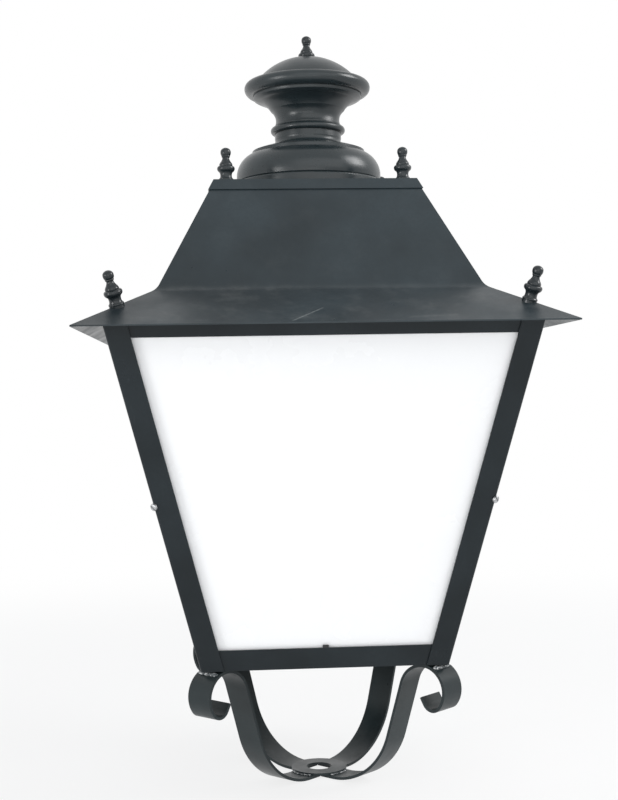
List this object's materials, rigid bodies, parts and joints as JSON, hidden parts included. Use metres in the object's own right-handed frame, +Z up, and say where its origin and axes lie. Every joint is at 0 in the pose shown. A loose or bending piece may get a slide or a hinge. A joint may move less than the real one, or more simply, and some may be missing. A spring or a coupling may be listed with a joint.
{
  "type": "post top lantern",
  "caption": "Square tapering post top lantern with opal panes, a folded hinged roof with a spun chimney and finials, on four scrolled straps.",
  "frame": {"origin": "centre of the hole in the mounting ring, half way through the ring plate", "axes": "+Z up along the post's axis, -Y towards the front, +X to the right; the roof's hinges are at the back, +Y"},
  "size_m": [0.4714, 0.4714, 0.8038],
  "materials": {
    "paint": "semi-gloss dark grey paint",
    "opal": "opal white sheet",
    "zinc": "zinc plated",
    "knob": "plain brass",
    "rubber": "black rubber",
    "gland": "black nylon",
    "holder": "white glazed porcelain",
    "cap_metal": "plain",
    "lamp_glass": "frosted white globe",
    "terminal": "white nylon"
  },
  "bodies": {
    "frame": {"strap_front_left": "paint", "post_front_left": "paint", "strap_front_right": "paint", "post_front_right": "paint", "strap_back_right": "paint", "post_back_right": "paint", "strap_back_left": "paint", "post_back_left": "paint", "bottom_rail_front": "paint", "top_rail_front": "paint", "pane_front": "opal", "bottom_rail_right": "paint", "top_rail_right": "paint", "pane_right": "opal", "bottom_rail_back": "paint", "top_rail_back": "paint", "pane_back": "opal", "bottom_rail_left": "paint", "top_rail_left": "paint", "pane_left": "opal", "mounting_ring": "paint", "hinge_frame_leaf_left": "paint", "hinge_frame_leaf_right": "paint", "catch_boss_left": "paint", "catch_boss_right": "paint", "corner_screws": "zinc", "pane_clips": "zinc", "lamp_bridge": "zinc", "hinge_pin_left": "zinc", "hinge_pin_right": "zinc", "floor_plate": "paint", "pane_wedges": "rubber", "cable_gland": "gland", "gland_locknut": "gland", "lampholder": "holder", "lamp_cap": "cap_metal", "lamp_globe": "lamp_glass", "terminal_block": "terminal"},
    "roof": {"roof": "paint", "roof_tray": "paint", "chimney_base": "paint", "chimney_collar": "paint", "chimney_bowl": "paint", "chimney_cap": "paint", "chimney_tie_bolt": "zinc", "chimney_finial": "paint", "hinge_roof_leaf_left": "paint", "hinge_roof_leaf_right": "paint", "catch_plate_left": "paint", "catch_plate_right": "paint", "tray_finial_front_left": "paint", "tray_finial_front_right": "paint", "tray_finial_back_right": "paint", "tray_finial_back_left": "paint", "eave_finial_front_left": "paint", "eave_finial_front_right": "paint", "eave_finial_back_right": "paint", "eave_finial_back_left": "paint"},
    "thumb_screw_left": {"thumb_screw_left": "knob"},
    "thumb_screw_right": {"thumb_screw_right": "knob"}
  },
  "joints": [
    {"name": "roof_hinge", "type": "hinge", "parent": "frame", "child": "roof", "pos_m": [0, 0.21184, 0.48013], "axis": [-1, 0, 0], "range_deg": [0, 85]},
    {"name": "thumb_screw_left_turn", "type": "hinge", "parent": "frame", "child": "thumb_screw_left", "pos_m": [-0.2, 0, 0.472], "axis": [-1, 0, 0], "range_deg": [0, 1080]},
    {"name": "thumb_screw_right_turn", "type": "hinge", "parent": "frame", "child": "thumb_screw_right", "pos_m": [0.2, 0, 0.472], "axis": [1, 0, 0], "range_deg": [0, 1080]}
  ]
}
